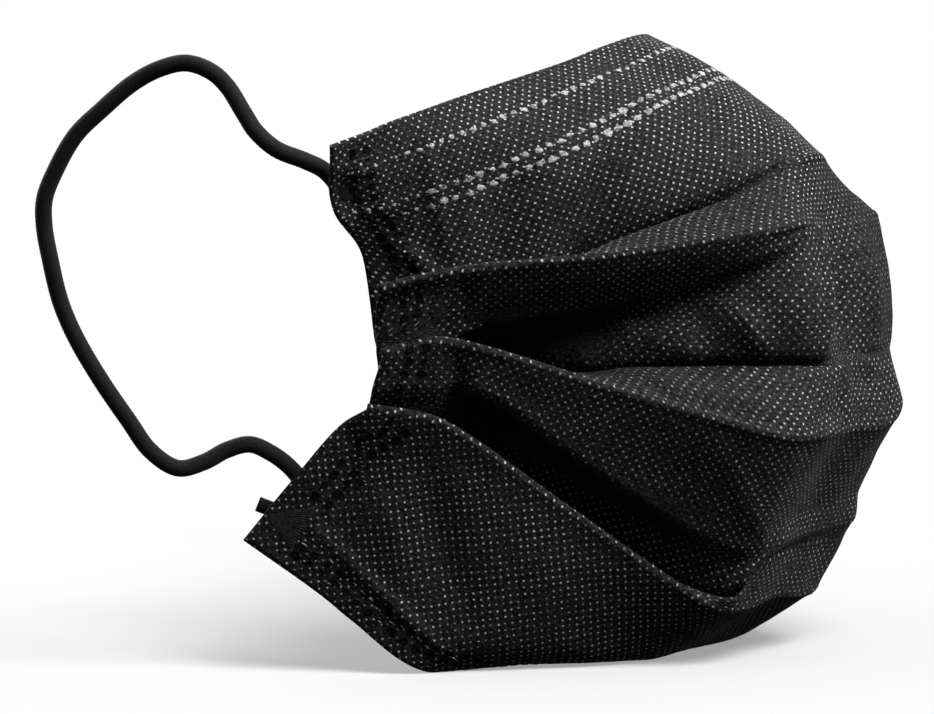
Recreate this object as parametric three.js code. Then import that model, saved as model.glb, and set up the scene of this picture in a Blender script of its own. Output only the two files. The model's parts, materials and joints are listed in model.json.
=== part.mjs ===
// A pleated three-ply face mask, opened out and standing on the lower edge of its chin panel,
// with a round elastic ear loop welded inside each side edge.
//
// Millimetres, +Z up. The mask faces -Y and its middle lies at x = 0. The origin is on the
// floor, in the middle of the flat that the mask rests on; the tables measure y from the nose.
// The cloth is one strip, folded along lines that run from side to side: each pleat is a
// valley fold and a mountain fold. The pleats are welded shut at the side edges and open
// towards the middle, and the side edges stand apart like the mouth of a bowl.

import * as THREE from 'three';

// Driving dimensions, mm
const WALL = 1.0;                 // three layers of nonwoven, as one wall
const LAYER_PITCH = 1.4;          // middle of one layer to the next in a closed pleat
const STEPS_PER_SPAN = 5;         // cross-sections between two stations
const SEAT_GAP = 0.3;             // clearance between welded-on pieces and the wall
const PIVOT_Y = 41;               // the far cheek swings about a vertical line behind the nose
const SWING_ANGLE = 0.27;         // how far the top of the +X cheek is swung back, radians
const SWING_START = 62;           // height at which the swing begins
const SWING_END = 98;             // height at which it is complete
const REST_Y = 40;                // the resting flat's middle, behind the foremost pleat
const CORD_RADIUS = 1.5;
const CORD_SIDES = 8;
const CORD_STEP = 5;              // about this long between two rings of the tube
const PAD_THICKNESS = 0.8;        // elastic flattened by the weld
const PAD_ACROSS = [0.03, 0.06, 0.09, 0.12];   // shares of the mask's width
const UPPER_PAD_DOWN = [0.5, 0.75, 1];         // shares of the panel's height
const LOWER_PAD_DOWN = [0.1, 0.35, 0.6];

// One row for each fold or crease, from the top edge to the hem. Each column is a station
// on the -X half, [x, y, z]; the centre is [y, z]. The +X half mirrors it.
// kind: 'edge' is a cut edge, 'valley' and 'mountain' are pleat folds, and 'crease' is a
// soft bend within a panel.
const LINES = [
  { name: 'top_edge', kind: 'edge', centre: [41, 110.3], front: [-25, 43.5, 106],
    cheek: [-51, 50.5, 100.5], weld: [-71, 56, 95.5], side: [-78.5, 58.5, 93.5] },
  { name: 'upper_bridge', kind: 'crease', centre: [32, 106.5], front: [-23.5, 34.5, 101],
    cheek: [-47, 45.5, 94], weld: [-66, 56, 87], side: [-73, 61, 82] },
  { name: 'lower_bridge', kind: 'crease', centre: [20, 99.5], front: [-21.5, 24.5, 94],
    cheek: [-41, 40, 86], weld: [-58.5, 55.5, 76], side: [-63.5, 61.5, 74] },
  { name: 'valley_1', kind: 'valley', centre: [7, 89.5], front: [-17, 14.5, 83.5],
    cheek: [-32, 32, 74], weld: [-52.5, 53, 61], side: [-58.5, 61.5, 58] },
  { name: 'mountain_1', kind: 'mountain', centre: [4.5, 78.5], front: [-20, 5.5, 77.5],
    cheek: [-40, 26.5, 73.5], weld: [-56, 50.5, 70.5], side: [-62, 59, 68] },
  { name: 'panel_1', kind: 'crease', centre: [1.5, 65], front: [-21, 2.2, 66],
    cheek: [-40, 28, 63.5], weld: [-54.8, 51.4, 64], side: [-60.8, 59.8, 62] },
  { name: 'valley_2', kind: 'valley', centre: [0.3, 53.5], front: [-19.5, 4, 54],
    cheek: [-30.5, 31, 52.5], weld: [-52.5, 53, 49.5], side: [-58, 61, 47] },
  { name: 'mountain_2', kind: 'mountain', centre: [-0.5, 41.5], front: [-21, 0.8, 42],
    cheek: [-39.5, 25.5, 50.5], weld: [-56, 50.5, 59], side: [-61.5, 58.5, 57] },
  { name: 'panel_2', kind: 'crease', centre: [7, 29], front: [-22.5, 9.5, 28],
    cheek: [-40, 27, 35], weld: [-55.5, 52, 52], side: [-61.8, 60.3, 51] },
  { name: 'valley_3', kind: 'valley', centre: [10.5, 20.4], front: [-19, 11, 19.8],
    cheek: [-33, 40, 33], weld: [-53.5, 54, 36.5], side: [-60.5, 64, 36.5] },
  { name: 'mountain_3', kind: 'mountain', centre: [14, 11], front: [-20, 15.5, 11],
    cheek: [-41, 34, 29.5], weld: [-57, 51.5, 45.5], side: [-64, 61.5, 46.5] },
  { name: 'chin', kind: 'crease', centre: [24, 4], front: [-21, 26, 4.5],
    cheek: [-44, 42, 17], weld: [-58.5, 59, 34], side: [-65, 69, 39] },
  { name: 'chin_turn', kind: 'crease', centre: [30, 0.5], front: [-21.5, 32, 0.8],
    cheek: [-47, 49.5, 7], weld: [-59.5, 66, 23], side: [-66, 77, 31] },
  { name: 'hem', kind: 'edge', centre: [47, 0.5], front: [-24, 49, 0.5],
    cheek: [-49.5, 58, 0.8], weld: [-59, 72, 13.5], side: [-66, 84, 23.5] },
];

// The middle of each ear loop, from the weld at the upper corner to the weld at the lower one.
const LOOP_LEFT = [
  [-69, 62, 84], [-70, 62.8, 86.8], [-71.7, 64.2, 89], [-73.7, 66.5, 90.5],
  [-76.5, 70.5, 92.5], [-77.5, 74, 95.5], [-78, 76, 98.5], [-78.5, 79, 103],
  [-79.5, 81.5, 105.5], [-80.5, 86, 107], [-82, 90.5, 106], [-83.5, 95, 103.5],
  [-85.5, 100, 99], [-87, 104.5, 94.5], [-88, 108, 88.5], [-88.5, 110, 83.5], [-88, 110.5, 79],
  [-87.5, 109.5, 72.5], [-86, 108.5, 65.5], [-84.5, 106.5, 59.5], [-82, 103, 52],
  [-79.5, 99, 45], [-77, 96, 39.5], [-74.5, 92, 36.5], [-71.5, 88.5, 37.5], [-69, 85.5, 39.5],
  [-67, 82, 40.5], [-65, 79, 39], [-63.5, 76, 36.5], [-62.5, 74.5, 34], [-62, 74.5, 29.4],
];
const LOOP_RIGHT = [
  [62, 73, 83.5], [63, 75.5, 86.8], [64.5, 80, 89.3], [67, 87.5, 90.5], [70, 93.5, 90.5],
  [73.5, 100, 90], [77, 106.5, 88.5], [80.5, 113, 85.5], [83.5, 118.5, 81], [85.5, 123, 75],
  [86, 125.5, 68], [85.5, 126, 60.5], [84, 124, 53], [81.5, 119.5, 46.5], [79, 114, 41],
  [76, 107.5, 37.5], [73.5, 101, 35.5], [71, 95, 35.5], [68.5, 89.5, 37], [66.5, 85, 38.5],
  [64.5, 80.5, 38], [63, 77, 36], [62.2, 75, 33.5], [62, 74.5, 29.4],
];

// The cut end of the elastic shows beside each lower weld.
const TAIL_LEFT = [[-61.5, 77.8, 27.8], [-64, 82.3, 29.8]];

const CLOTH = { color: 0x17171a, roughness: 0.85, metalness: 0 };
const ELASTIC = { color: 0x101012, roughness: 0.9, metalness: 0 };

const vec = (x, y, z) => new THREE.Vector3(x, y, z);

// The whole fold line, -X side to +X side, with the +X half swung back at the top.
function foldLine(row) {
  const left = [row.side, row.weld, row.cheek, row.front].map((p) => vec(...p));
  const centre = vec(0, ...row.centre);
  const right = left.map((p) => swingBack(vec(-p.x, p.y, p.z))).reverse();
  return new THREE.CatmullRomCurve3([...left, centre, ...right], false, 'centripetal');
}

function swingBack(p) {
  const share = THREE.MathUtils.smoothstep(p.z, SWING_START, SWING_END);
  const pivot = vec(0, PIVOT_Y, 0);
  return p.sub(pivot).applyAxisAngle(vec(0, 0, 1), SWING_ANGLE * share).add(pivot);
}

// Mid-surface points of one cross-section. A pleat fold is two points, one layer apart,
// so that the layers on either side of it stay clear of each other.
function section(curves, u) {
  const at = curves.map((curve) => curve.getPoint(u));
  const along = curves.map((curve) => curve.getTangent(u));
  const points = [];
  const keep = (p, a) => {
    p.z = Math.max(p.z, WALL / 2);
    points.push({ p, along: a });
  };
  LINES.forEach(({ kind }, i) => {
    if (kind === 'edge' || kind === 'crease') {
      keep(at[i], along[i]);
      return;
    }
    const into = at[i].clone().sub(at[i - 1]).projectOnPlane(along[i]).normalize();
    const out = at[i + 1].clone().sub(at[i]).projectOnPlane(along[i]).normalize();
    const turn = kind === 'mountain' ? 1 : -1;
    const sine = along[i].dot(into.clone().cross(out)) * turn;
    let angle = Math.atan2(sine, into.dot(out));
    if (angle < -Math.PI / 2) angle += 2 * Math.PI;
    const across = into.applyAxisAngle(along[i], turn * angle / 2).setLength(LAYER_PITCH / 2);
    keep(at[i].clone().sub(across), along[i]);
    keep(at[i].clone().add(across), along[i]);
  });
  return points;
}

// Outward offsets of the points of a section, mitred where two panels meet.
function offsets(points) {
  const normals = [];
  for (let j = 0; j + 1 < points.length; j++) {
    const down = points[j + 1].p.clone().sub(points[j].p);
    const along = points[j].along.clone().add(points[j + 1].along);
    normals.push(down.cross(along).normalize());
  }
  return points.map((_, j) => {
    const a = normals[Math.max(j - 1, 0)];
    const b = normals[Math.min(j, normals.length - 1)];
    return a.clone().add(b).divideScalar(1 + a.dot(b));
  });
}

// A closed wall around a grid of mid-surface points.
function wall(columns, innerShift, outerShift) {
  const n = columns.length;
  const m = columns[0].length;
  const positions = [];
  const index = [];
  columns.forEach((points) => {
    const shifts = offsets(points);
    [outerShift, innerShift].forEach((shift) => {
      points.forEach(({ p }, j) => {
        const { x, y, z } = p.clone().addScaledVector(shifts[j], shift);
        positions.push(x, y, Math.max(z, 0));
      });
    });
  });
  const outer = (i, j) => i * 2 * m + j;
  const inner = (i, j) => (i * 2 + 1) * m + j;
  const quad = (a, b, c, d) => index.push(a, b, c, a, c, d);
  for (let i = 0; i + 1 < n; i++) {
    for (let j = 0; j + 1 < m; j++) {
      quad(outer(i, j), outer(i, j + 1), outer(i + 1, j + 1), outer(i + 1, j));
      quad(inner(i, j), inner(i + 1, j), inner(i + 1, j + 1), inner(i, j + 1));
    }
    quad(inner(i, 0), outer(i, 0), outer(i + 1, 0), inner(i + 1, 0));
    quad(outer(i, m - 1), inner(i, m - 1), inner(i + 1, m - 1), outer(i + 1, m - 1));
  }
  for (let j = 0; j + 1 < m; j++) {
    quad(outer(0, j), inner(0, j), inner(0, j + 1), outer(0, j + 1));
    quad(inner(n - 1, j), outer(n - 1, j), outer(n - 1, j + 1), inner(n - 1, j + 1));
  }
  const geometry = new THREE.BufferGeometry();
  geometry.setAttribute('position', new THREE.Float32BufferAttribute(positions, 3));
  geometry.setIndex(index);
  return geometry;
}

function maskBody(curves) {
  const spans = 8;
  const columns = [];
  for (let i = 0; i <= spans * STEPS_PER_SPAN; i++) {
    columns.push(section(curves, i / (spans * STEPS_PER_SPAN)));
  }
  return wall(columns, -WALL / 2, WALL / 2);
}

// A round tube along a smooth line through the given points.
function cord(points) {
  const round = new THREE.Shape();
  for (let i = 0; i < CORD_SIDES; i++) {
    const angle = (i / CORD_SIDES) * 2 * Math.PI;
    const [x, y] = [CORD_RADIUS * Math.cos(angle), CORD_RADIUS * Math.sin(angle)];
    if (i === 0) round.moveTo(x, y);
    else round.lineTo(x, y);
  }
  const path = new THREE.CatmullRomCurve3(points.map((p) => vec(...p)), false, 'centripetal');
  const steps = Math.ceil(path.getLength() / CORD_STEP);
  return new THREE.ExtrudeGeometry(round, { steps, bevelEnabled: false, extrudePath: path });
}

// A thin pad of flattened elastic against the inner face, within one panel.
// from and to are shares of the way across the mask and down the panel.
function weldPad(curves, line, across, down) {
  const columns = across.map((u) => down.map((v) => ({
    p: curves[line].getPoint(u).lerp(curves[line + 1].getPoint(u), v),
    along: curves[line].getTangent(u),
  })));
  const face = -WALL / 2 - SEAT_GAP;
  return wall(columns, face - PAD_THICKNESS, face);
}

const mask = new THREE.Group();
mask.position.y = -REST_Y;

function add(name, geometry, finish) {
  const mesh = new THREE.Mesh(geometry, new THREE.MeshStandardMaterial(finish));
  mesh.name = name;
  mask.add(mesh);
}

const curves = LINES.map(foldLine);
const row = (name) => LINES.findIndex((line) => line.name === name);
const mirrored = (shares) => shares.map((u) => 1 - u).reverse();

add('mask_body', maskBody(curves), CLOTH);
add('ear_loop_left', cord(LOOP_LEFT), ELASTIC);
add('ear_loop_right', cord(LOOP_RIGHT), ELASTIC);
[['left', PAD_ACROSS, 1], ['right', mirrored(PAD_ACROSS), -1]].forEach(([side, across, flip]) => {
  add(`upper_weld_${side}`, weldPad(curves, row('top_edge'), across, UPPER_PAD_DOWN), ELASTIC);
  add(`lower_weld_${side}`, weldPad(curves, row('chin_turn'), across, LOWER_PAD_DOWN), ELASTIC);
  const tail = TAIL_LEFT.map(([x, y, z]) => [x * flip, y, z]);
  add(`cord_tail_${side}`, cord(tail), ELASTIC);
});

export default mask;
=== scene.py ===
"""A black pleated surgical mask, opened out and standing on its chin panel, on a pale floor.

The cloth is one folded strip of three thin nonwoven layers. It is rebuilt here from a finer
fold table than the frame's mask_body has, with deeper tucks at the cheeks, as a thin sheet with
tight folds, wrinkles and welds.
"""

import json
import math
from collections import namedtuple

import bpy
import numpy as np
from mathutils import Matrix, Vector

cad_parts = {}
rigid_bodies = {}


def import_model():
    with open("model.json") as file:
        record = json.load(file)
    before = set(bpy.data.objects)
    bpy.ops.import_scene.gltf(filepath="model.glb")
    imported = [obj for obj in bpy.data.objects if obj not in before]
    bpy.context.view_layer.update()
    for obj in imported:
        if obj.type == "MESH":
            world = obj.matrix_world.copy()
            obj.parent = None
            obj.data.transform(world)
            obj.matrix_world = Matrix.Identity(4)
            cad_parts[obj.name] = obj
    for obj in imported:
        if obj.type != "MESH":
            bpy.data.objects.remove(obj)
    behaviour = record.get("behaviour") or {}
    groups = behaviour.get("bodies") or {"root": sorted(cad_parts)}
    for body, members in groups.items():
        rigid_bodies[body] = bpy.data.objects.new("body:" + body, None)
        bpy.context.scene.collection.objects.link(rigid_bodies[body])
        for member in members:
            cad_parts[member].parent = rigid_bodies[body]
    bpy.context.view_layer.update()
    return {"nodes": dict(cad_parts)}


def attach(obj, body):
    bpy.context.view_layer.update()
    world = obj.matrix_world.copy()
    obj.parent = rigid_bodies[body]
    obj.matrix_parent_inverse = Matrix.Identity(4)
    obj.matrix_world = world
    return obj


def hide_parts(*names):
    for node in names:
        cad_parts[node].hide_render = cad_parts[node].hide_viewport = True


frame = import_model()

bl_info = {
    "name": "Surgical Mask",
    "version": (1, 0, 0),
    "blender": (4, 5, 0),
    "location": "View3D > Sidebar > Surgical Mask",
    "description": "Builds a pleated surgical mask with elastic ear loops",
    "category": "Object",
}

MM = 0.001
REST_Y = 40  # the fold table measures y from the nose; the frame's origin is this far behind it

# The fold table, in millimetres. Each row is a fold or crease of the cloth, from the top edge
# to the hem. flat is its distance down the unfolded cloth. The stations lie on the -X half,
# and the +X half mirrors them. An edge is cut, valley and mountain are pleat folds, a crease
# is a soft turn within a panel, and a bend is a sharp one.
Fold = namedtuple("Fold", "name kind flat centre ridge front cheek pocket weld side")
FOLDS = (
    Fold("top_edge", "edge", 0, (0, 41, 110.3), (-14, 41.5, 108.5), (-25, 43.5, 106),
         (-51, 50.5, 100.5), (-66, 54.5, 97), (-71, 56, 95.5), (-78.5, 58.5, 93.5)),
    Fold("upper_bridge", "crease", 10, (0, 32, 106.5), (-13, 32.5, 104), (-23.5, 34.5, 101),
         (-47, 45.5, 94), (-61, 53, 89), (-66, 56, 87), (-73, 61, 82)),
    Fold("lower_bridge", "crease", 22.5, (0, 20, 99.5), (-12, 21, 97), (-21.5, 24.5, 94),
         (-41, 40, 86), (-53.5, 52, 78.5), (-57.5, 56.3, 76), (-62.5, 62, 74)),
    Fold("valley_1", "valley", 39, (0, 7, 89.5), (-10, 10, 87), (-17, 14.5, 83.5),
         (-32, 32, 74), (-47.5, 47.5, 64), (-52.5, 53, 61), (-58.5, 61.5, 58)),
    Fold("mountain_1", "mountain", 49.5, (0, 4.5, 78.5), (-13, 2.5, 78.5), (-20, 5.5, 77.5),
         (-40, 26.5, 73.5), (-52, 44.5, 71.5), (-56, 50.5, 70.5), (-62, 59, 68)),
    Fold("roll_1", "crease", 54.5, (0, 3.5, 75.5), (-13, 2.4, 77.4), (-19, 5.5, 75.5),
         (-38.5, 28, 69), (-50, 45.5, 67), (-55.5, 51, 67.5), (-61, 59.5, 65)),
    Fold("panel_1", "bend", 59.5, (0, 3, 73), (-12.3, 2.1, 76.4), (-18.4, 5.6, 73.6),
         (-34, 31, 64.5), (-47, 47.5, 62), (-54.5, 51.5, 63), (-60.5, 60, 61)),
    Fold("tuck_1", "crease", 62, (0, 2.5, 71), (-11.7, 1.9, 75.3), (-16.8, 6.2, 72.3),
         (-27.5, 34.5, 61), (-36.5, 53.5, 58), (-53.6, 52, 59), (-60.3, 60.4, 57.4)),
    Fold("rise_1", "crease", 67, (0, 1, 61.5), (-13.5, -0.4, 64), (-18.5, 4, 63.5),
         (-31, 32, 57), (-33, 55.5, 54), (-53.5, 52, 55), (-59.5, 60.5, 54)),
    Fold("valley_2", "valley", 73, (0, 0.3, 53.5), (-12, 0.3, 54), (-17.8, 5, 54.5),
         (-31, 31, 53), (-33, 56, 49.5), (-52.5, 53, 49.5), (-58, 61, 47)),
    Fold("mountain_2", "mountain", 84, (0, -0.5, 41.5), (-13.7, -1.7, 41.5), (-22, 0.5, 42),
         (-39.5, 25.5, 50.5), (-52, 44, 57.5), (-56, 50.5, 59), (-61.5, 58.5, 57)),
    Fold("panel_2", "bend", 96, (0, 8, 26.5), (-12.5, 7.5, 25), (-19, 10.5, 21.3),
         (-37, 28.5, 35.5), (-51.5, 45, 50.5), (-55.5, 52, 51), (-61.8, 60.3, 51)),
    Fold("tuck_2", "crease", 99, (0, 8.5, 22.3), (-12.7, 8, 21.8), (-17.4, 11.6, 19.4),
         (-27, 34.5, 31.5), (-40, 52, 46), (-51.5, 54.5, 44.2), (-59, 63.3, 44.7)),
    Fold("valley_3", "valley", 108.5, (0, 10.5, 20), (-13, 10.3, 18.6), (-17.5, 13.5, 13.2),
         (-25, 43, 23.5), (-36.5, 56, 34.5), (-53.5, 54, 36.5), (-60.5, 64, 36.5)),
    Fold("mountain_3", "mountain", 118.5, (0, 14, 11), (-11.5, 14, 10), (-20, 15.5, 11),
         (-41, 34, 29.5), (-53, 46.5, 42), (-57, 51.5, 45.5), (-61.5, 61.5, 47.3)),
    Fold("chin", "crease", 131.5, (0, 24, 4), (-12, 24, 3.5), (-21, 26, 4.5),
         (-44, 42, 17), (-55, 54, 29.5), (-58.5, 58.5, 35.5), (-63, 66, 44.3)),
    Fold("chin_turn", "crease", 142, (0, 30, 0.5), (-12, 30, 0.5), (-21.5, 32, 0.8),
         (-47, 49.5, 7), (-56.8, 61, 19), (-60, 65, 24), (-65.8, 74, 34.7)),
    Fold("hem", "edge", 156, (0, 47, 0.5), (-13.5, 47.5, 0.5), (-24, 49, 0.5),
         (-50.5, 57.5, 0.8), (-58.5, 66.6, 9.8), (-61.4, 70.5, 13.9), (-68.3, 82.6, 23.9)),
)
# Columns from side to weld, pocket, cheek, front, ridge and centre.
SPAN_STEPS = (9, 10, 24, 25, 13, 16)
ROW_STEP = 0.85               # along the cloth, between two rows of the mesh
FOLD_ARC = 5                  # rows around each fold
GROOVE = 2.2                  # how much deeper each valley is than the panels beside it
MOUTH = (1.0, 0.4)            # half the width of the slit that leads into a valley
SHOULDER = 0.6                # from the slit to where the panels begin to turn in
MOUTH_FADE = (16, 8)          # from the open mouth at the silhouette to the slit, along x
GROOVE_FADE = (-4, -13)       # from no groove to the full one, along x
BEND = 1.6                    # straight stretch on both sides of a bend
SWING = dict(pivot_y=41, angle=0.27, start=62, end=98)

# The +X half is fuller in front, because its pleats are pulled less far open there.
FAR_HALF = {
    "mountain_1": dict(front=(23, 5.2, 77.5)),
    "roll_1": dict(ridge=(12.5, 2, 75.5), front=(23, 4.2, 73)),
    "panel_1": dict(ridge=(12.5, 1.2, 71), front=(22.5, 3.2, 66.5)),
    "tuck_1": dict(ridge=(12.5, 1, 69), front=(23, 3.3, 64.5)),
    "rise_1": dict(ridge=(12.5, 0, 60.5), front=(24, 3.3, 60.5)),
    "valley_2": dict(front=(23, 3, 54)),
    "mountain_2": dict(front=(23, 0.5, 45)),
    "panel_2": dict(ridge=(11.5, 6.8, 27.5), front=(22.5, 8.6, 28)),
    "tuck_2": dict(ridge=(12, 8.4, 22.5), front=(23, 9.6, 23.5)),
    "valley_3": dict(ridge=(12, 10.5, 20), front=(22.5, 11, 21)),
}
STATIONS = ("side", "weld", "pocket", "cheek", "front", "ridge")

# Soft creases and dents in the cloth, millimetres. u is measured from the middle towards +X
# and v down the cloth; height is outward. Panel 0 is above the first pleat.
Wrinkle = namedtuple("Wrinkle", "panel name u0 v0 u1 v1 width height")
WRINKLES = (
    Wrinkle(0, "end_crease", -62.5, 1, -70, 33, 1.5, 0.6),
    Wrinkle(0, "weld_dent", -81.3, 8, -80.3, 14.5, 2.4, -1.3),
    Wrinkle(0, "weld_crease_upper", -82, 5.6, -74, 6.9, 1.2, 0.7),
    Wrinkle(0, "weld_crease_lower", -80, 15.8, -72, 15.6, 1.4, 0.7),
    Wrinkle(0, "corner_crease", -76.5, 23, -72.5, 31, 1.6, 0.9),
    Wrinkle(0, "cheek_fold_1", -40, 20, -56, 30, 3, 1.2),
    Wrinkle(0, "cheek_fold_2", -22, 19, -43, 34, 3, 0.9),
    Wrinkle(0, "cheek_fold_3", -60, 19, -68, 29, 3, 1.1),
    Wrinkle(0, "cheek_hollow_1", -34, 22, -50, 33, 3, -1.1),
    Wrinkle(0, "cheek_hollow_2", -52, 21, -66, 33, 3, -1.0),
    Wrinkle(0, "bridge_hollow", -10, 22, -28, 31, 3, -0.9),
    Wrinkle(1, "wedge_swell", -47, 42.5, -27, 43, 2.6, 0.9),
    Wrinkle(1, "strip_edge_1", -74.5, 52, -82, 66, 1.8, -1.6),
    Wrinkle(1, "strip_crease_1", -80, 51, -86, 64, 1, -0.5),
    Wrinkle(1, "roll_end", -34, 61, -20, 65, 1.3, -0.5),
    Wrinkle(1, "nose_ridge_1", -5.5, 51, -9.5, 73, 1.8, 1.4),
    Wrinkle(1, "cheek_bump_1", -58, 77, -55, 78, 2, 1.1),
    Wrinkle(1, "cheek_bump_2", -53, 76, -50, 78, 2, 1.1),
    Wrinkle(1, "cheek_bump_3", -46, 69, -43, 72, 2.2, 1.0),
    Wrinkle(1, "cheek_bump_4", -40, 71, -38, 73, 2, 1.0),
    Wrinkle(1, "cheek_bump_5", -34.5, 72, -32.5, 75, 2, 0.9),
    Wrinkle(1, "cheek_streak", -27, 65, -20, 73, 1.8, 1.0),
    Wrinkle(1, "cheek_hollow_3", -35, 64, -28, 73, 2, -0.7),
    Wrinkle(1, "far_streak_1", 4, 56, 15, 55, 0.9, 0.35),
    Wrinkle(1, "far_streak_2", 3, 60, 14, 59.5, 0.9, 0.35),
    Wrinkle(1, "far_streak_3", 4, 64.5, 15, 63.5, 0.9, 0.35),
    Wrinkle(1, "far_hollow", 1, 53, 0, 73, 2.6, -1.4),
    Wrinkle(1, "far_swell", 10.5, 53, 10, 73, 4.2, 1.7),
    Wrinkle(2, "shelf_swell", -44, 77, -24, 77.5, 3.4, 1.4),
    Wrinkle(2, "star_crease", -1, 72.5, -26, 84, 1.6, 0.7),
    Wrinkle(2, "star_hollow", -5, 78, -20, 84, 3, -0.8),
    Wrinkle(2, "far_hollow_2", 5, 75, 10, 76.5, 2.5, -1),
    Wrinkle(2, "nose_crease_2", 0, 73, 0.5, 84, 1.5, 0.6),
    Wrinkle(2, "cheek_ray_1", -48, 80, -43, 84, 1.2, 0.4),
    Wrinkle(2, "cheek_ray_2", -40, 78, -36, 84, 1.2, 0.4),
    Wrinkle(2, "facet_crease", -31.5, 86, -15.5, 105, 1.3, 0.5),
    Wrinkle(2, "strip_edge_2", -79.5, 87, -76.5, 99, 2, -1.8),
    Wrinkle(3, "middle_hollow", -81, 128.5, -54, 148, 3.4, -0.9),
    Wrinkle(3, "middle_fold", -79, 140, -67, 148, 3.2, 0.7),
    Wrinkle(3, "seam_hollow", -88, 137, -81, 152, 2.4, -0.6),
    Wrinkle(3, "lower_fold", -50, 128, -42, 142, 4, 0.6),
    Wrinkle(3, "hem_crease", -84, 152, -53, 155, 1.2, 0.8),
    Wrinkle(3, "corner_dent", -90, 134, -87, 137, 1.6, -0.9),
)

# Between these distances down the cloth, and further than inner from its middle, it lies deep
# within a pleat, and the points are taken out there as painted shade.
PaintedShadeHollow = namedtuple("PaintedShadeHollow", "v0 v1 inner")
PAINTED_SHADE_HOLLOWS = (PaintedShadeHollow(60, 79, 42), PaintedShadeHollow(97, 114, 26))

# Patches where the points are dimmed as painted shade: share is what is lost.
PaintedShadePatch = namedtuple("PaintedShadePatch", "panel u0 u1 v0 v1 share")
PAINTED_SHADE_PATCHES = (
    PaintedShadePatch(1, -52, -8, 36, 50, 0.5),
    PaintedShadePatch(1, 3, 60, 36, 72, 0.55),
    PaintedShadePatch(1, -100, -62, 57, 80, 0.9),
    PaintedShadePatch(2, -56, -22, 72, 85, 0.4),
)
PLEATED = (46, 126)           # down the cloth, the stretch where all points are fainter
PLEATED_LOSS = 0.3
END_PANEL_FROM = (68, 18)     # beyond this u and v, the top panel's ends have clearer points
END_PANEL_GAIN = 0.6
# how much of the points the painted shade in the pleat hollows takes out
PAINTED_SHADE_LOSS = 0.97

# The coarse net that the cloth is unrolled with, and how often it is relaxed.
NET_ROWS = 13
NET_COLUMNS = 49
NET_ROUNDS = 40

# The relief fades out over some rows towards each fold and towards the top edge and the hem.
CALM_AT_FOLD = (1.5, 3)       # rows without relief, and rows to the full one
CALM_AT_EDGE = 4

# The cloth's own unevenness: smooth bumps of a length and width, turned by some degrees.
Unevenness = namedtuple("Unevenness", "length width turn height seed")
UNEVENNESS = (
    Unevenness(15, 8, 40, 0.32, 1),
    Unevenness(7, 4.5, -35, 0.15, 2),
    Unevenness(3.4, 2.4, 65, 0.05, 3),
)
NOISE_TABLE = (97, 89)        # random values that the unevenness repeats after

# Rows of weld spots. Top rows run across at a distance down the cloth, side rows run down at
# a distance from each side edge, and hem rows run across at a distance above the hem.
TOP_WELDS = ((6.6, 1.6, 1.1), (15.0, 1.8, 1.35), (17.6, 2.0, 1.5))  # distance, length, width
SIDE_WELDS = (4.7, 7.6)
HEM_WELDS = (3.3, 5.3)
SIDE_WELD_RUNS = ((0, 3, 33), (1, 51, 62), (2, 85.5, 97), (3, 128, 149))  # panel, first v, last v
FAN_WELD = ((-92.4, 155.2), (-86.4, 147.8), (-84.6, 157.8))  # beside the elastic's lower end

# The middle of each ear loop, metres, from its upper weld to its lower one.
LOOP_LEFT = (
    (-0.069, 0.022, 0.084), (-0.070, 0.0228, 0.0868), (-0.0717, 0.0242, 0.089),
    (-0.0737, 0.0265, 0.0905), (-0.0765, 0.0305, 0.0925), (-0.0775, 0.034, 0.0955),
    (-0.078, 0.036, 0.0985), (-0.0785, 0.039, 0.103), (-0.0795, 0.0415, 0.1055),
    (-0.0805, 0.046, 0.107), (-0.082, 0.0505, 0.106), (-0.0835, 0.055, 0.1035),
    (-0.0855, 0.060, 0.099), (-0.087, 0.0645, 0.0945), (-0.088, 0.068, 0.0885),
    (-0.0885, 0.070, 0.0835), (-0.088, 0.0705, 0.079), (-0.0875, 0.0695, 0.0725),
    (-0.086, 0.0685, 0.0655), (-0.0845, 0.0665, 0.0595), (-0.082, 0.063, 0.052),
    (-0.0795, 0.059, 0.045), (-0.077, 0.056, 0.0395), (-0.0745, 0.052, 0.0365),
    (-0.0715, 0.0485, 0.0375), (-0.069, 0.0455, 0.0395), (-0.067, 0.042, 0.0405),
    (-0.065, 0.039, 0.039), (-0.0635, 0.036, 0.0365), (-0.0625, 0.0345, 0.034),
    (-0.062, 0.0345, 0.0294),
)
LOOP_RIGHT = (
    (0.062, 0.033, 0.0835), (0.063, 0.0355, 0.0868), (0.0645, 0.040, 0.0893),
    (0.067, 0.0475, 0.0905), (0.070, 0.0535, 0.0905), (0.0735, 0.060, 0.090),
    (0.077, 0.0665, 0.0885), (0.0805, 0.073, 0.0855), (0.0835, 0.0785, 0.081),
    (0.0855, 0.083, 0.075), (0.086, 0.0855, 0.068), (0.0855, 0.086, 0.0605),
    (0.084, 0.084, 0.053), (0.0815, 0.0795, 0.0465), (0.079, 0.074, 0.041),
    (0.076, 0.0675, 0.0375), (0.0735, 0.061, 0.0355), (0.071, 0.055, 0.0355),
    (0.0685, 0.0495, 0.037), (0.0665, 0.045, 0.0385), (0.0645, 0.0405, 0.038),
    (0.063, 0.037, 0.036), (0.0622, 0.035, 0.0335), (0.062, 0.0345, 0.0294),
)
TAIL_LEFT = ((-0.0615, 0.0378, 0.0278), (-0.064, 0.0423, 0.0298))


def linear(hex_colour):
    """An sRGB hex colour as linear red, green and blue."""
    shares = [int(hex_colour[i:i + 2], 16) / 255 for i in (1, 3, 5)]
    return tuple(s / 12.92 if s <= 0.04045 else ((s + 0.055) / 1.055) ** 2.4 for s in shares)


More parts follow.
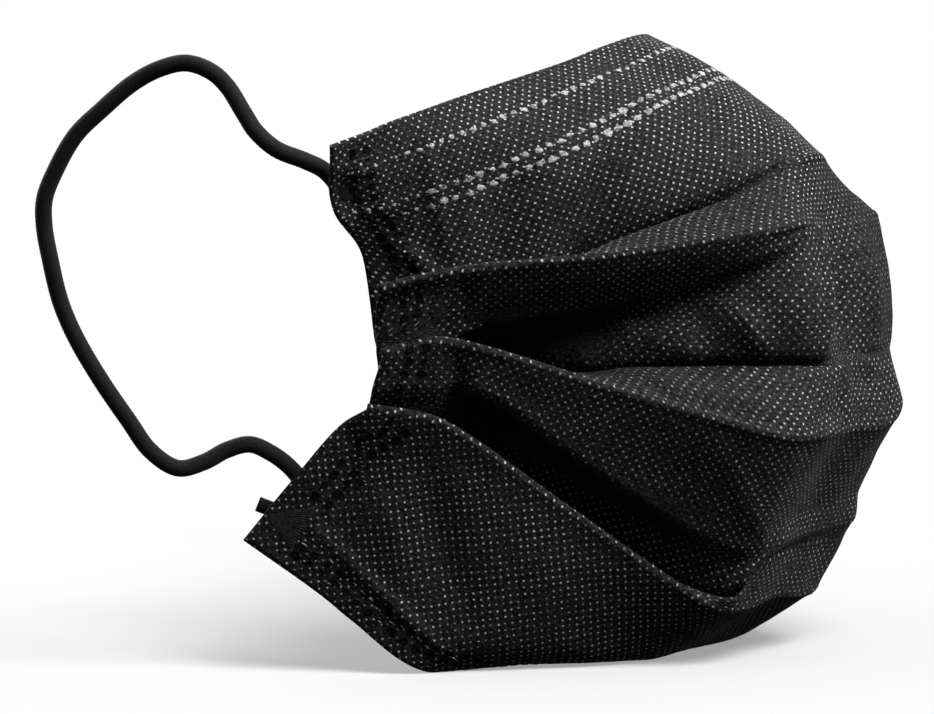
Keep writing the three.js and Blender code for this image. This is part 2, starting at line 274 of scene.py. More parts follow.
class MaskSizes(bpy.types.PropertyGroup):
    """Sizes of the cloth, its embossing and the elastic."""

    cloth_thickness: bpy.props.FloatProperty(
        name="Cloth thickness", description="The three layers together",
        default=0.45 * MM, unit="LENGTH")
    layer_pitch: bpy.props.FloatProperty(
        name="Layer pitch", description="Middle of one layer to the next in a closed pleat",
        default=1.4 * MM, unit="LENGTH")
    dot_pitch: bpy.props.FloatProperty(
        name="Dot pitch", description="Between neighbouring embossed points of the spunbond",
        default=1.27 * MM, unit="LENGTH")
    dot_diameter: bpy.props.FloatProperty(
        name="Dot diameter", description="One embossed point",
        default=0.38 * MM, unit="LENGTH")
    weld_pitch: bpy.props.FloatProperty(
        name="Weld pitch", description="Between the ultrasonic weld points of a seam",
        default=2.35 * MM, unit="LENGTH")
    cord_diameter: bpy.props.FloatProperty(
        name="Cord diameter", description="The round ear elastic",
        default=3.0 * MM, unit="LENGTH")


class MaskColours(bpy.types.PropertyGroup):
    """Colours of the materials."""

    cloth: bpy.props.FloatVectorProperty(
        name="Cloth", description="Black spunbond fibres", subtype="COLOR",
        default=linear("#1b1b1c"), min=0, max=1)
    points: bpy.props.FloatVectorProperty(
        name="Embossed points", description="Fused points that show the pale inner layer",
        subtype="COLOR", default=linear("#dcdcdc"), min=0, max=1)
    welds: bpy.props.FloatVectorProperty(
        name="Top welds", description="Melted spots of the rows along the top",
        subtype="COLOR", default=linear("#d0d0d0"), min=0, max=1)
    elastic: bpy.props.FloatVectorProperty(
        name="Elastic", description="Dyed elastic yarn", subtype="COLOR",
        default=linear("#161618"), min=0, max=1)
    floor: bpy.props.FloatVectorProperty(
        name="Floor", description="Pale studio floor", subtype="COLOR",
        default=linear("#d6d6d6"), min=0, max=1)


# Geometry

def spline(points, steps):
    """Centripetal Catmull-Rom curves through points[k], with steps[k] steps in span k.

    points has the shape (number of points, number of curves, 3).
    """
    ends = np.concatenate([2 * points[:1] - points[1:2], points, 2 * points[-1:] - points[-2:-1]])
    gaps = np.linalg.norm(np.diff(ends, axis=0), axis=2, keepdims=True)
    gaps = np.sqrt(np.maximum(gaps, 1e-9))
    made = []
    for i, count in enumerate(steps):
        before, start, end, after = ends[i:i + 4]
        g0, g1, g2 = gaps[i:i + 3]
        leave = ((start - before) / g0 - (end - before) / (g0 + g1) + (end - start) / g1) * g1
        arrive = ((end - start) / g1 - (after - start) / (g1 + g2) + (after - end) / g2) * g1
        for w in np.arange(count) / count:
            made.append(start * (1 + 2 * w) * (1 - w) ** 2 + end * w * w * (3 - 2 * w)
                        + leave * w * (1 - w) ** 2 + arrive * w * w * (w - 1))
    made.append(points[-1])
    return np.array(made)


def unit(vectors):
    return vectors / np.maximum(np.linalg.norm(vectors, axis=-1, keepdims=True), 1e-12)


def swing_back(points):
    """Turns the top of the +X half back about a vertical line behind the nose."""
    rise = np.clip((points[..., 2] - SWING["start"]) / (SWING["end"] - SWING["start"]), 0, 1)
    angle = SWING["angle"] * rise * rise * (3 - 2 * rise)
    x, y = points[..., 0], points[..., 1] - SWING["pivot_y"]
    turned_x = x * np.cos(angle) - y * np.sin(angle)
    turned_y = x * np.sin(angle) + y * np.cos(angle) + SWING["pivot_y"]
    return np.stack([turned_x, turned_y, points[..., 2]], axis=-1)


def fold_lines():
    """Every fold line as one curve from the -X side to the +X side, (columns, folds, 3)."""
    left = [[getattr(fold, station) for fold in FOLDS] for station in STATIONS]
    right = [[FAR_HALF.get(fold.name, {}).get(station, (-x, y, z))
              for fold, (x, y, z) in zip(FOLDS, line)] for station, line in zip(STATIONS, left)]
    centre = [[fold.centre for fold in FOLDS]]
    right = swing_back(np.array(right[::-1], float))
    return spline(np.concatenate([left, centre, right]), SPAN_STEPS + SPAN_STEPS[::-1])


def across_fold(fold, before, at, after, along):
    """The unit directions into and out of a fold, across its two layers, and towards its tip."""
    into, out = at - before, after - at
    into = unit(into - along * (into * along).sum(-1, keepdims=True))
    out = unit(out - along * (out * along).sum(-1, keepdims=True))
    turn = 1 if fold.kind == "mountain" else -1
    sine = (along * np.cross(into, out)).sum(-1) * turn
    angle = np.arctan2(sine, (into * out).sum(-1))
    angle = np.where(angle < -math.pi / 2, angle + 2 * math.pi, angle)[..., None]
    half = turn * angle / 2
    return into, out, into * np.cos(half) + np.cross(along, into) * np.sin(half), (into - out) / 2


def toward(points, others):
    """Points a short way from some points towards others."""
    gap = others - points
    length = np.linalg.norm(gap, axis=-1, keepdims=True)
    return points + gap / length * np.minimum(BEND, 0.4 * length)


def cloth_grid(layer_pitch):
    """The cloth's middle surface, (rows, columns, 3) in millimetres, and the row of each fold."""
    lines = fold_lines()
    along = unit(np.gradient(lines, axis=0))
    radius = layer_pitch / 2
    rows, fold_row, panel, marks = [], {}, [], []

    def close_panel():
        counts = [max(2, round((b - a) / ROW_STEP)) for a, b in zip(marks, marks[1:])]
        rows.extend(spline(np.array(panel), counts))

    for i, fold in enumerate(FOLDS):
        at = lines[:, i]
        if fold.kind == "bend":
            beside = [toward(at, lines[:, k]) for k in (i - 1, i + 1)]
            panel += [beside[0], at, beside[1]]
            marks += [fold.flat - BEND / 2, fold.flat, fold.flat + BEND / 2]
            continue
        if fold.kind not in ("valley", "mountain"):
            panel.append(at)
            marks.append(fold.flat)
            continue
        before, after = lines[:, i - 1], lines[:, i + 1]
        into, out, across, tip = across_fold(fold, before, at, after, along[:, i])
        fade = np.clip((at[:, :1] - GROOVE_FADE[0]) / (GROOVE_FADE[1] - GROOVE_FADE[0]), 0, 1)
        groove = GROOVE * fade * (fold.kind == "valley")
        slit = np.clip((at[:, :1] - MOUTH_FADE[0]) / (MOUTH_FADE[1] - MOUTH_FADE[0]), 0, 1)
        mouth = MOUTH[0] + (MOUTH[1] - MOUTH[0]) * slit
        deep = at + unit(tip + np.cross(along[:, i], into + out) / 2) * groove
        arc = [deep - across * radius * math.cos(a) + tip * radius * math.sin(a)
               for a in np.linspace(0, math.pi, FOLD_ARC)]
        if fold.kind == "valley":
            panel.append(at - across * mouth - into * SHOULDER)
            marks.append(fold.flat - SHOULDER)
        panel.append(arc[0])
        marks.append(fold.flat)
        close_panel()
        rows.extend(arc[1:-1])
        fold_row[fold.name] = len(rows) - 1 - (FOLD_ARC - 2) // 2
        panel, marks = [arc[-1]], [fold.flat]
        if fold.kind == "valley":
            panel.append(at + across * mouth + out * SHOULDER)
            marks.append(fold.flat + SHOULDER)
    close_panel()
    return np.array(rows), fold_row


def flat_coordinates(middle, fold_row):
    """Flat u and v of a grid, in millimetres, measured along the cloth itself.

    u runs from the middle towards +X. v runs down from the top edge, and again from each
    mountain fold as far as the valleys on both sides of it.
    """
    steps = np.linalg.norm(np.diff(middle, axis=1), axis=2)
    u = np.concatenate([np.zeros((len(middle), 1)), np.cumsum(steps, axis=1)], axis=1)
    u -= u[:, u.shape[1] // 2, None]
    steps = np.linalg.norm(np.diff(middle, axis=0), axis=2)
    down = np.concatenate([np.zeros((1, middle.shape[1])), np.cumsum(steps, axis=0)])
    v = down.copy()
    flat = {fold.name: fold.flat for fold in FOLDS}
    for k in (1, 2, 3):
        valley, tip = fold_row[f"valley_{k}"], fold_row[f"mountain_{k}"]
        v[valley:] = down[valley:] - down[tip] + flat[f"mountain_{k}"]
    ends = (fold_row["valley_2"], fold_row["valley_3"], len(middle) - 1)
    for k, end in zip((1, 2, 3), ends):
        start, tip = fold_row[f"valley_{k}"] + 1, fold_row[f"mountain_{k}"]
        du, dv = unrolled(middle[tip:end + 1], u[tip:end + 1], v[tip:end + 1])
        for flat_part, shift in ((u, du), (v, dv)):
            flat_part[tip:end + 1] += shift
            flat_part[start:tip] += shift[0]
    return u, v


def unrolled(patch, u, v):
    """The shifts of a patch's flat u and v that keep the shape of its cells as well as they can."""
    rows = np.linspace(0, len(patch) - 1, NET_ROWS).round().astype(int)
    columns = np.linspace(0, patch.shape[1] - 1, NET_COLUMNS).round().astype(int)
    net = patch[np.ix_(rows, columns)].reshape(-1, 3)
    start = (u + 1j * v)[np.ix_(rows, columns)].ravel()
    index = np.arange(len(net)).reshape(len(rows), -1)
    cells = np.stack([index[:-1, :-1], index[:-1, 1:], index[1:, 1:], index[1:, :-1]], axis=-1)
    cells = cells.reshape(-1, 4)
    corners = net[cells] - net[cells].mean(axis=1, keepdims=True)
    across = unit(corners[:, 1] + corners[:, 2])
    down = corners[:, 2] + corners[:, 3]
    down = unit(down - across * (down * across).sum(axis=1, keepdims=True))
    shape = (corners * across[:, None]).sum(axis=2) + 1j * (corners * down[:, None]).sum(axis=2)
    links = np.zeros((len(net), len(net)))
    np.add.at(links, (cells[:, :, None], cells[:, None, :]), np.eye(4) - 0.25)
    middle = len(net) // 2
    links[middle, middle] += 1
    solve = np.linalg.inv(links)
    flat = start
    for _ in range(NET_ROUNDS):
        turn = ((flat[cells] - flat[cells].mean(axis=1, keepdims=True)) * shape.conj()).sum(axis=1)
        wanted = np.zeros_like(start)
        np.add.at(wanted, cells, (turn / np.abs(turn))[:, None] * shape)
        wanted[middle] += start[middle]
        flat = solve @ wanted
    shift = (flat - start).reshape(len(rows), len(columns))
    shift = np.stack([np.interp(np.arange(patch.shape[1]), columns, line) for line in shift])
    shift = np.stack([np.interp(np.arange(len(patch)), rows, line) for line in shift.T], axis=1)
    return shift.real, shift.imag


def normals_of(grid):
    """Outward unit normals of a grid of points."""
    return unit(np.cross(np.gradient(grid, axis=0), np.gradient(grid, axis=1)))


def soft_noise(x, y, seed):
    """Smooth noise from -1 to 1 over a plane, with a random value at each whole number."""
    values = np.random.default_rng(seed).uniform(-1, 1, NOISE_TABLE)
    m, n = NOISE_TABLE
    i, j = np.floor(x).astype(int), np.floor(y).astype(int)
    a, b = x - i, y - j
    a, b = a * a * (3 - 2 * a), b * b * (3 - 2 * b)
    rows = [values[i % m, (j + k) % n] * (1 - a) + values[(i + 1) % m, (j + k) % n] * a
            for k in (0, 1)]
    return rows[0] * (1 - b) + rows[1] * b


def relief(u, v, panel):
    """How far the cloth stands out at flat places u, v: its unevenness and its wrinkles."""
    height = np.zeros_like(u)
    for bumps in UNEVENNESS:
        turn = math.radians(bumps.turn)
        x = (u * math.cos(turn) + v * math.sin(turn)) / bumps.length
        y = (v * math.cos(turn) - u * math.sin(turn)) / bumps.width
        height += bumps.height * soft_noise(x, y + 17 * panel, bumps.seed)
    for w in WRINKLES:
        run = np.array([w.u1 - w.u0, w.v1 - w.v0], float)
        length = np.linalg.norm(run)
        run /= length
        du, dv = u - w.u0, v - w.v0
        share = np.clip((du * run[0] + dv * run[1]) / length, 0, 1)
        away = np.hypot(du - run[0] * length * share, dv - run[1] * length * share)
        taper = np.sin(math.pi * (0.15 + 0.7 * share))
        height += (panel == w.panel) * w.height * taper * np.exp(-(away / w.width) ** 2)
    return height


def ramp(distance, width):
    """A share that rises from 0 to 1 over a width."""
    return np.clip(distance / width, 0, 1)


def point_clarity(u, v, panel):
    """How clearly the embossed points show at flat places u, v: 1 is plain, 0 is not at all. Deep
    in the pleats and in some patches they are dimmed as painted shade.
    """
    pleated = ramp(v - PLEATED[0], 8) * ramp(PLEATED[1] - v, 8) * (panel > 0)
    clarity = 1 - PLEATED_LOSS * pleated
    ends = ramp(np.abs(u) - END_PANEL_FROM[0], 6) * ramp(v - END_PANEL_FROM[1], 4)
    clarity += END_PANEL_GAIN * ends * (panel == 0)
    # painted shade: deep within the pleats the pale points are taken out
    for pleat in PAINTED_SHADE_HOLLOWS:
        within = ramp(v - pleat.v0, 3) * ramp(pleat.v1 - v, 3)
        beside = ramp(-u - pleat.inner, 8) + ramp(u - pleat.inner, 8)
        clarity *= 1 - PAINTED_SHADE_LOSS * within * beside
    # painted shade: the pale points are dimmed in these patches
    for patch in PAINTED_SHADE_PATCHES:
        across = ramp(u - patch.u0, 5) * ramp(patch.u1 - u, 5)
        down = ramp(v - patch.v0, 3) * ramp(patch.v1 - v, 3)
        clarity *= 1 - patch.share * across * down * (panel == patch.panel)
    return clarity


# clarity is how clearly the points show, with painted shade in the pleat hollows and some patches
Cloth = namedtuple("Cloth", "outer inner normal u v starts clarity")


def fold_cloth(sizes):
    """The finished cloth: its outer and inner faces in metres, with flat coordinates in mm.

    starts holds the first row of each panel, and the number of rows.
    """
    thickness = sizes.cloth_thickness / MM
    middle, fold_row = cloth_grid(sizes.layer_pitch / MM)
    u, v = flat_coordinates(middle, fold_row)
    starts = [0] + [fold_row[f"valley_{k}"] + 1 for k in (1, 2, 3)] + [len(v)]
    panel = np.repeat(np.arange(4), np.diff(starts))[:, None]
    fold_rows = np.array(list(fold_row.values()))
    calm = np.abs(np.arange(len(v))[:, None] - fold_rows).min(axis=1)[:, None]
    edge = np.minimum(np.arange(len(v)), np.arange(len(v))[::-1])[:, None]
    flat_rows, fade_rows = CALM_AT_FOLD
    height = relief(u, v, panel) * ramp(calm - flat_rows, fade_rows) * ramp(edge, CALM_AT_EDGE)
    middle = middle + normals_of(middle) * height[..., None]
    middle[..., 2] = np.maximum(middle[..., 2], thickness / 2)
    normal = normals_of(middle)
    faces = []
    for side in (1, -1):
        face = middle + normal * side * thickness / 2
        face[..., 2] = np.maximum(face[..., 2], 0)
        face[..., 1] -= REST_Y
        faces.append(face * MM)
    return Cloth(faces[0], faces[1], normal, u, v, starts, point_clarity(u, v, panel))


def on_cloth(cloth, panel, places, lift):
    """Points at flat places (u, v) of a panel, and lift metres off the cloth's outer face."""
    first, last = cloth.starts[panel], cloth.starts[panel + 1]
    u, v = cloth.u[first:last], cloth.v[first:last]
    normal, outer = cloth.normal[first:last], cloth.outer[first:last]
    points = []
    for (wanted_u, wanted_v), height in zip(places, np.broadcast_to(lift, len(places))):
        column = row = 0.0
        for _ in range(4):
            i = min(int(column), u.shape[1] - 2)
            line = v[:, i] * (1 - column + i) + v[:, i + 1] * (column - i)
            row = np.interp(wanted_v, line, np.arange(len(line)))
            j = min(int(row), len(u) - 2)
            line = u[j] * (1 - row + j) + u[j + 1] * (row - j)
            column = np.interp(wanted_u, line, np.arange(len(line)))
        i, j = min(int(column), u.shape[1] - 2), min(int(row), len(u) - 2)
        w, t = column - i, row - j
        corners = [((1 - w) * (1 - t), j, i), (w * (1 - t), j, i + 1),
                   ((1 - w) * t, j + 1, i), (w * t, j + 1, i + 1)]
        point = sum(share * outer[a, b] for share, a, b in corners)
        away = sum(share * normal[a, b] for share, a, b in corners)
        points.append(point + unit(away) * height)
    return np.array(points)


def spots(cloth, panel, places, sizes, rings, seed):
    """Irregular round spots on the cloth, (points, faces, uv).

    rings are (share of the radius, lift in mm) from the outside in, and end at the middle.
    """
    chance = np.random.default_rng(seed)
    sides = 12
    angle = np.arange(sides) * 2 * math.pi / sides
    flat, lifts, faces = [], [], []
    ring = np.arange(sides)
    for (u, v), (length, width) in zip(places, sizes):
        ragged = chance.uniform(0.6, 1.25, sides)
        first = len(flat)
        for share, lift in rings[:-1]:
            reach = share * (1 + (ragged - 1) * share)
            flat.extend(zip(u + length / 2 * reach * np.cos(angle),
                            v + width / 2 * reach * np.sin(angle)))
            lifts.extend([lift] * sides)
        flat.append((u, v))
        lifts.append(rings[-1][1])
        for k in range(len(rings) - 2):
            a = first + k * sides
            faces.extend((int(a + i), int(a + sides + i), int(a + sides + (i + 1) % sides),
                          int(a + (i + 1) % sides)) for i in ring)
        a = first + (len(rings) - 2) * sides
        faces.extend((int(a + i), len(flat) - 1, int(a + (i + 1) % sides)) for i in ring)
    return on_cloth(cloth, panel, flat, np.array(lifts) * MM), faces, flat


def joined(parts):
    """Several (points, faces, uv) as one."""
    points, faces, uv = [], [], []
    for more, corners, places in parts:
        faces.extend(tuple(c + len(points) for c in face) for face in corners)
        points.extend(more)
        uv.extend(places)
    return points, faces, uv


def shell_faces(rows, columns):
    """Quads of a closed shell between an outer grid and, after it, an inner one."""
    index = np.arange(2 * rows * columns).reshape(2, rows, columns)
    outer, inner = index

    def quads(a, b, c, d):
        return np.stack([a.ravel(), b.ravel(), c.ravel(), d.ravel()], axis=1)

    faces = [
        quads(outer[:-1, :-1], outer[1:, :-1], outer[1:, 1:], outer[:-1, 1:]),
        quads(inner[:-1, :-1], inner[:-1, 1:], inner[1:, 1:], inner[1:, :-1]),
        quads(inner[0, :-1], outer[0, :-1], outer[0, 1:], inner[0, 1:]),
        quads(outer[-1, :-1], inner[-1, :-1], inner[-1, 1:], outer[-1, 1:]),
        quads(outer[:-1, 0], inner[:-1, 0], inner[1:, 0], outer[1:, 0]),
        quads(inner[:-1, -1], outer[:-1, -1], outer[1:, -1], inner[1:, -1]),
    ]
    return np.concatenate(faces)


def tube(route, radius, sides, step, swell):
    """A closed tube along a route, (points, faces, uv in mm). swell(angle, distance) scales it."""
    path = spline(np.array(route, float)[:, None], [24] * (len(route) - 1))[:, 0]
    gone = np.concatenate([[0], np.cumsum(np.linalg.norm(np.diff(path, axis=0), axis=1))])
    count = max(4, round(gone[-1] / step))
    distance = np.linspace(0, gone[-1], count + 1)
    line = np.stack([np.interp(distance, gone, path[:, k]) for k in range(3)], axis=1)
    along = unit(np.gradient(line, axis=0))
    side = unit(np.cross(along[0], (0.3, 0.2, 1)))
    angle = np.arange(sides) * 2 * math.pi / sides
    points, uv = [], []
    for p, t, d in zip(line, along, distance):
        side = unit(side - t * (side @ t))
        up = np.cross(t, side)
        r = radius * swell(angle, d / MM)
        points.extend(p + np.outer(r * np.cos(angle), side) + np.outer(r * np.sin(angle), up))
        uv.extend((radius * a / MM, d / MM) for a in angle)
    ring = np.arange(sides)
    faces = []
    for k in range(count):
        a, b = k * sides + ring, k * sides + (ring + 1) % sides
        faces.extend(np.stack([a, b, b + sides, a + sides], axis=1).tolist())
    points.extend([line[0], line[-1]])
    uv.extend([(0, 0), (0, distance[-1] / MM)])
    first, last = len(points) - 2, len(points) - 1
    end = count * sides
    faces.extend([first, int((k + 1) % sides), int(k)] for k in ring)
    faces.extend([last, int(end + k), int(end + (k + 1) % sides)] for k in ring)
    return points, faces, uv


def flattened_end(name):
    """An elastic end pressed flat, in the place of a frame node, (points, faces, uv in mm)."""
    corners = np.array([v.co for v in frame["nodes"][name].data.vertices])
    middle = (corners.min(axis=0) + corners.max(axis=0)) / 2
    axes = np.linalg.svd(corners - corners.mean(axis=0))[2]
    reach = np.abs((corners - middle) @ axes.T).max(axis=0) * (0.98, 0.98, 0.9)
    if np.linalg.det(axes) < 0:
        axes[2] = -axes[2]
    around, over, ribs = 64, 24, 7
    points, uv = [], []
    for tilt in np.linspace(-math.pi / 2, math.pi / 2, over + 1):
        for angle in np.arange(around) * 2 * math.pi / around:
            x, y = (math.copysign(abs(f(angle)) ** 0.55, f(angle)) * math.cos(tilt) ** 0.45
                    for f in (math.cos, math.sin))
            rib = 0.86 + 0.14 * abs(math.cos(ribs * math.pi / 2 * y))
            z = math.copysign(abs(math.sin(tilt)) ** 0.6, tilt) * rib
            place = np.array((x, y, z)) * reach
            points.append(middle + place @ axes)
            uv.append((place[0] / MM, place[1] / MM))
    ring = np.arange(around)
    faces = []
    for k in range(over):
        a = k * around
        faces.extend((int(a + i), int(a + (i + 1) % around), int(a + around + (i + 1) % around),
                      int(a + around + i)) for i in ring)
    return points, faces, uv


def mesh_piece(name, points, faces, uv, material):
    """A smooth-shaded object at the origin, with its flat coordinates in the uv map 'flat'."""
    mesh = bpy.data.meshes.new(name)
    mesh.from_pydata([tuple(p) for p in points], [], [tuple(f) for f in faces])
    layer = mesh.uv_layers.new(name="flat")
    corners = np.zeros(len(mesh.loops), int)
    mesh.loops.foreach_get("vertex_index", corners)
    layer.data.foreach_set("uv", np.array(uv, np.float32)[corners].ravel())
    mesh.shade_smooth()
    mesh.materials.append(material)
    piece = bpy.data.objects.new(name, mesh)
    bpy.context.scene.collection.objects.link(piece)
    return piece


# Materials

def add(tree, kind, settings=None, **links):
    """A shader node with its settings, and with the named inputs linked or set."""
    node = tree.nodes.new(kind)
    for key, value in (settings or {}).items():
        setattr(node, key, value)
    for key, value in links.items():
        name = int(key[1:]) if key[1:].isdigit() else key.replace("_", " ")
        socket = node.inputs[name]
        if isinstance(value, bpy.types.NodeSocket):
            tree.links.new(value, socket)
        else:
            socket.default_value = value
    return node


def new_material(name):
    material = bpy.data.materials.new(name)
    material.use_nodes = True
    tree = material.node_tree
    tree.nodes.clear()
    return material, tree


def finish(tree, colour, height, strength, depth, **settings):
    """Ends a material: a shader of a colour, with a bump that is depth mm deep."""
    bump = add(tree, "ShaderNodeBump", Height=height, Strength=strength,
               Distance=depth * MM).outputs[0]
    shader = add(tree, "ShaderNodeBsdfPrincipled", Base_Color=colour, Normal=bump,
                 **settings).outputs[0]
    add(tree, "ShaderNodeOutputMaterial", Surface=shader)


def fibre_web(tree, flat):
    """Fine laid fibres: a share from 0 to 1 that is brighter where fibres cross."""
    strands = []
    for turn in (0.5, -0.9):
        run = add(tree, "ShaderNodeMapping", Vector=flat, Rotation=(0, 0, turn),
                  Scale=(1.2, 2.6, 1)).outputs[0]
        strands.append(add(tree, "ShaderNodeTexNoise", {"noise_dimensions": "2D"}, Vector=run,
                           Scale=1.0, Detail=1.5, Roughness=0.6, Distortion=0.5).outputs["Fac"])
    return add(tree, "ShaderNodeMath", {"operation": "MAXIMUM"},
               _0=strands[0], _1=strands[1]).outputs[0]


def spunbond_polypropylene(sizes, colours):
    """Thermally bonded spunbond: dull black fibres, with rows of fused points that are
    pressed flat and let the pale layer behind show through."""
    material, tree = new_material("spunbond_polypropylene_black")
    flat = add(tree, "ShaderNodeUVMap", {"uv_map": "flat"}).outputs[0]
    pitch = sizes.dot_pitch / MM
    lattice = add(tree, "ShaderNodeMapping", Vector=flat, Rotation=(0, 0, math.pi / 4),
                  Scale=(1 / pitch, 1 / pitch, 1)).outputs[0]
    points = add(tree, "ShaderNodeTexVoronoi", {"voronoi_dimensions": "2D"},
                 Vector=lattice, Scale=1.0, Randomness=0.14)
    web = fibre_web(tree, flat)
    ragged = add(tree, "ShaderNodeMath", {"operation": "MULTIPLY_ADD"},
                 _0=web, _1=-0.12, _2=points.outputs["Distance"]).outputs[0]
    radius = sizes.dot_diameter / MM / 2 / pitch
    dot = add(tree, "ShaderNodeMapRange", {"interpolation_type": "SMOOTHSTEP"},
              Value=ragged, From_Min=radius * 1.2 - 0.06, From_Max=radius * 0.7 - 0.06).outputs[0]
    luck = add(tree, "ShaderNodeSeparateColor", Color=points.outputs["Color"]).outputs[0]
    worn = add(tree, "ShaderNodeTexNoise", {"noise_dimensions": "2D"},
               Vector=flat, Scale=0.12, Detail=2.0).outputs["Fac"]
    chance = add(tree, "ShaderNodeMath", _0=luck, _1=worn).outputs[0]
    clear = add(tree, "ShaderNodeMapRange", Value=chance, From_Min=0.45, From_Max=1.25,
                To_Min=0.12, To_Max=1.0).outputs[0]
    # how clearly the points show, with painted shade in the pleat hollows and some patches
    place = add(tree, "ShaderNodeAttribute", {"attribute_name": "point_clarity"}).outputs["Fac"]
    clear = add(tree, "ShaderNodeMath", {"operation": "MULTIPLY"}, _0=clear, _1=place).outputs[0]
    shown = add(tree, "ShaderNodeMath", {"operation": "MULTIPLY"}, _0=dot, _1=clear).outputs[0]
    speckle = add(tree, "ShaderNodeMapRange", {"interpolation_type": "SMOOTHSTEP"}, Value=web,
                  From_Min=0.44, From_Max=0.7, To_Min=0.18, To_Max=3.4).outputs[0]
    base = add(tree, "ShaderNodeMix", {"data_type": "RGBA", "blend_type": "MULTIPLY"},
               _0=1.0, _6=(*colours.cloth, 1), _7=speckle).outputs[2]
    colour = add(tree, "ShaderNodeMix", {"data_type": "RGBA"},
                 _0=shown, _6=base, _7=(*colours.points, 1)).outputs[2]
    height = add(tree, "ShaderNodeMath", {"operation": "MULTIPLY_ADD"},
                 _0=dot, _1=-0.6, _2=web).outputs[0]
    finish(tree, colour, height, 0.7, 0.14, Roughness=0.75, Specular_IOR_Level=0.12,
           Sheen_Weight=0.03, Sheen_Roughness=0.5)
    return material


def fused_polypropylene(colours):
    """Ultrasonic weld spots of the top rows: the layers are melted together into pale,
    slightly furry patches with black fibres across them."""
    material, tree = new_material("fused_polypropylene_pale")
    flat = add(tree, "ShaderNodeUVMap", {"uv_map": "flat"}).outputs[0]
    web = fibre_web(tree, flat)
    grain = add(tree, "ShaderNodeTexNoise", {"noise_dimensions": "2D"},
                Vector=flat, Scale=1.1, Detail=4.0, Roughness=0.7).outputs["Fac"]
    both = add(tree, "ShaderNodeMath", {"operation": "MULTIPLY_ADD"},
               _0=web, _1=0.5, _2=grain).outputs[0]
    share = add(tree, "ShaderNodeMapRange", Value=both, From_Min=0.6, From_Max=0.9).outputs[0]
    colour = add(tree, "ShaderNodeMix", {"data_type": "RGBA"}, _0=share,
                 _6=(*colours.cloth, 1), _7=(*colours.welds, 1)).outputs[2]
    finish(tree, colour, both, 0.6, 0.15, Roughness=0.7, Specular_IOR_Level=0.2)
    return material


def pressed_polypropylene(colours):
    """Cloth pressed by the welding tool: black, a little glossy where it has melted."""
    material, tree = new_material("pressed_polypropylene_black")
    flat = add(tree, "ShaderNodeUVMap", {"uv_map": "flat"}).outputs[0]
    web = fibre_web(tree, flat)
    speckle = add(tree, "ShaderNodeMapRange", {"interpolation_type": "SMOOTHSTEP"}, Value=web,
                  From_Min=0.5, From_Max=0.8, To_Min=0.05, To_Max=1.0).outputs[0]
    colour = add(tree, "ShaderNodeMix", {"data_type": "RGBA", "blend_type": "MULTIPLY"},
                 _0=1.0, _6=(*colours.cloth, 1), _7=speckle).outputs[2]
    finish(tree, colour, web, 0.5, 0.1, Roughness=0.5, Specular_IOR_Level=0.2)
    return material


def ribbed_polypropylene(colours):
    """Cloth drawn into fine ribs under the elastic's end: grey where the fibres are stretched."""
    material, tree = new_material("ribbed_polypropylene_grey")
    flat = add(tree, "ShaderNodeUVMap", {"uv_map": "flat"}).outputs[0]
    web = fibre_web(tree, flat)
    share = add(tree, "ShaderNodeMapRange", Value=web, From_Min=0.4, From_Max=0.75,
                To_Min=0.6, To_Max=4.5).outputs[0]
    colour = add(tree, "ShaderNodeMix", {"data_type": "RGBA", "blend_type": "MULTIPLY"},
                 _0=1.0, _6=(*colours.cloth, 1), _7=share).outputs[2]
    finish(tree, colour, web, 0.6, 0.12, Roughness=0.7, Specular_IOR_Level=0.2)
    return material


def knitted_elastic(colours):
    """Round knitted ear elastic: dull textured yarn, with small pale glints at the stitches."""
    material, tree = new_material("polyester_elastic_knitted_black")
    flat = add(tree, "ShaderNodeUVMap", {"uv_map": "flat"}).outputs[0]
    grain = add(tree, "ShaderNodeTexNoise", {"noise_dimensions": "2D"},
                Vector=flat, Scale=2.2, Detail=4.0, Roughness=0.7).outputs["Fac"]
    share = add(tree, "ShaderNodeMapRange", Value=grain, From_Min=0.45, From_Max=0.75,
                To_Min=0.7, To_Max=2.6).outputs[0]
    colour = add(tree, "ShaderNodeMix", {"data_type": "RGBA", "blend_type": "MULTIPLY"},
                 _0=1.0, _6=(*colours.elastic, 1), _7=share).outputs[2]
    finish(tree, colour, grain, 0.5, 0.1, Roughness=0.8, Specular_IOR_Level=0.2,
           Sheen_Weight=0.1, Sheen_Roughness=0.5)
    return material


def painted_floor(colours):
    """Matt painted studio floor: pale and without gloss."""
    material, tree = new_material("matt_paint_rolled")
    shader = add(tree, "ShaderNodeBsdfPrincipled", Base_Color=(*colours.floor, 1),
                 Roughness=1.0, Specular_IOR_Level=0.0).outputs[0]
    add(tree, "ShaderNodeOutputMaterial", Surface=shader)
    return material


def material_named(prefix, make, *values):
    """The material whose name starts with prefix, made once."""
    for material in bpy.data.materials:
        if material.name.startswith(prefix):
            return material
    return make(*values)


# Operators

class SURGICALMASK_OT_camera(bpy.types.Operator):
    """Adds the camera that looks at the mask from its left front"""

    bl_idname = "surgical_mask.camera"
    bl_label = "Camera"

    AZIMUTH = math.radians(-60)
    ELEVATION = math.radians(5)
    DISTANCE = 1.0
    TARGET = Vector((-0.038, 0.0152, 0.0547))
    LENS = 219.7

    def execute(self, context):
        back = Vector((math.sin(self.AZIMUTH) * math.cos(self.ELEVATION),
                       -math.cos(self.AZIMUTH) * math.cos(self.ELEVATION),
                       math.sin(self.ELEVATION)))
        data = bpy.data.cameras.new("camera")
        data.lens = self.LENS
        camera = bpy.data.objects.new("camera", data)
        camera.location = self.TARGET + back * self.DISTANCE
        camera.rotation_euler = back.to_track_quat("Z", "Y").to_euler()
        context.scene.collection.objects.link(camera)
        context.scene.camera = camera
        return {"FINISHED"}


